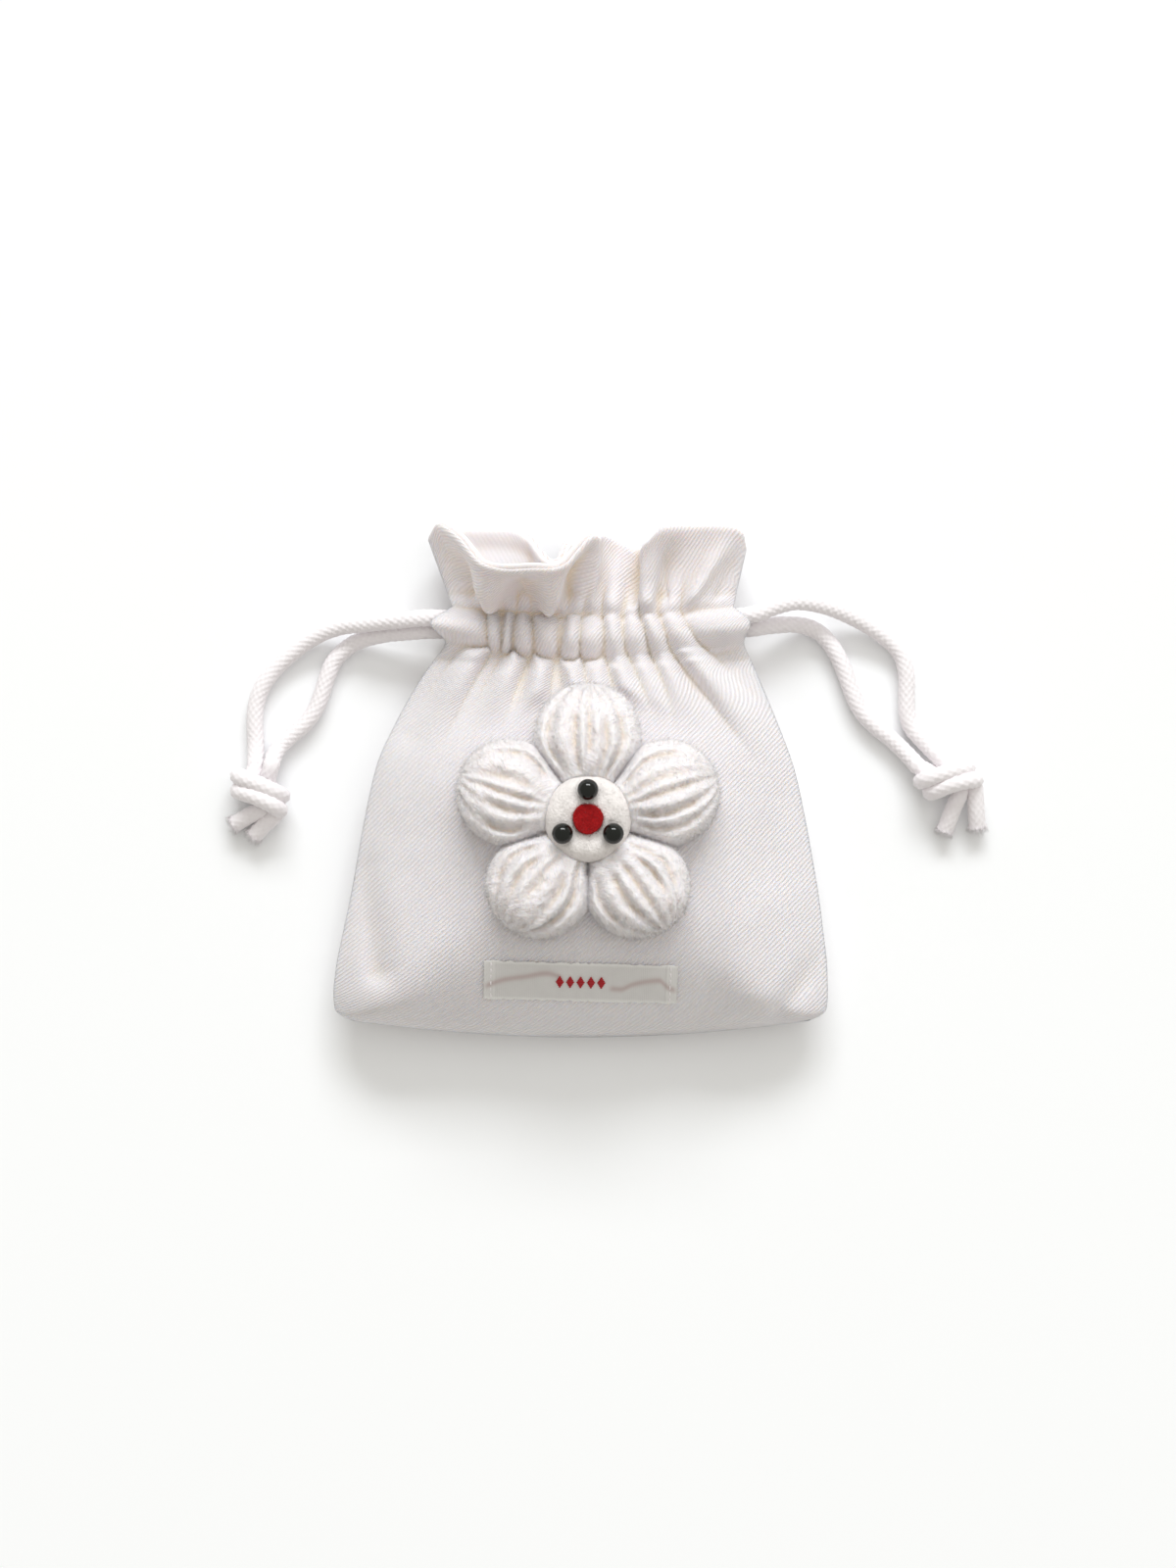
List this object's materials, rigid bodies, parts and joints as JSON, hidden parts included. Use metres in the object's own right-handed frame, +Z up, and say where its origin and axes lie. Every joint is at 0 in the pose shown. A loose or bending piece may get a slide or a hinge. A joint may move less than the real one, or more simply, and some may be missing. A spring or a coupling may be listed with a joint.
{
  "type": "drawstring pouch",
  "caption": "Gathered cotton drawstring pouch lying on its back, open at a ruffled mouth, with knotted cords, a plain ribbon label and a stuffed fleece flower on the front.",
  "frame": {"origin": "on the surface it lies on, under the middle of the pouch without its cords", "axes": "+X to the right, +Y from the bottom seam to the mouth, +Z up out of the front panel"},
  "size_m": [0.2316, 0.1545, 0.0578],
  "materials": {
    "twill": "off-white cotton twill",
    "ribbon": "thin greyish satin ribbon",
    "fleece": "brushed white fleece",
    "felt": "cream felt",
    "red_felt": "red felt",
    "bead": "polished black",
    "cord": "braided white cotton"
  },
  "bodies": {
    "root": {"front_panel": "twill", "back_panel": "twill", "label": "ribbon", "petal_1": "fleece", "petal_2": "fleece", "petal_3": "fleece", "petal_4": "fleece", "petal_5": "fleece", "flower_centre": "felt", "red_dot": "red_felt", "bead_1": "bead", "bead_2": "bead", "bead_3": "bead", "cord_left_front": "cord", "cord_left_back": "cord", "cord_right_front": "cord", "cord_right_back": "cord", "knot_left": "cord", "knot_right": "cord"}
  },
  "joints": []
}
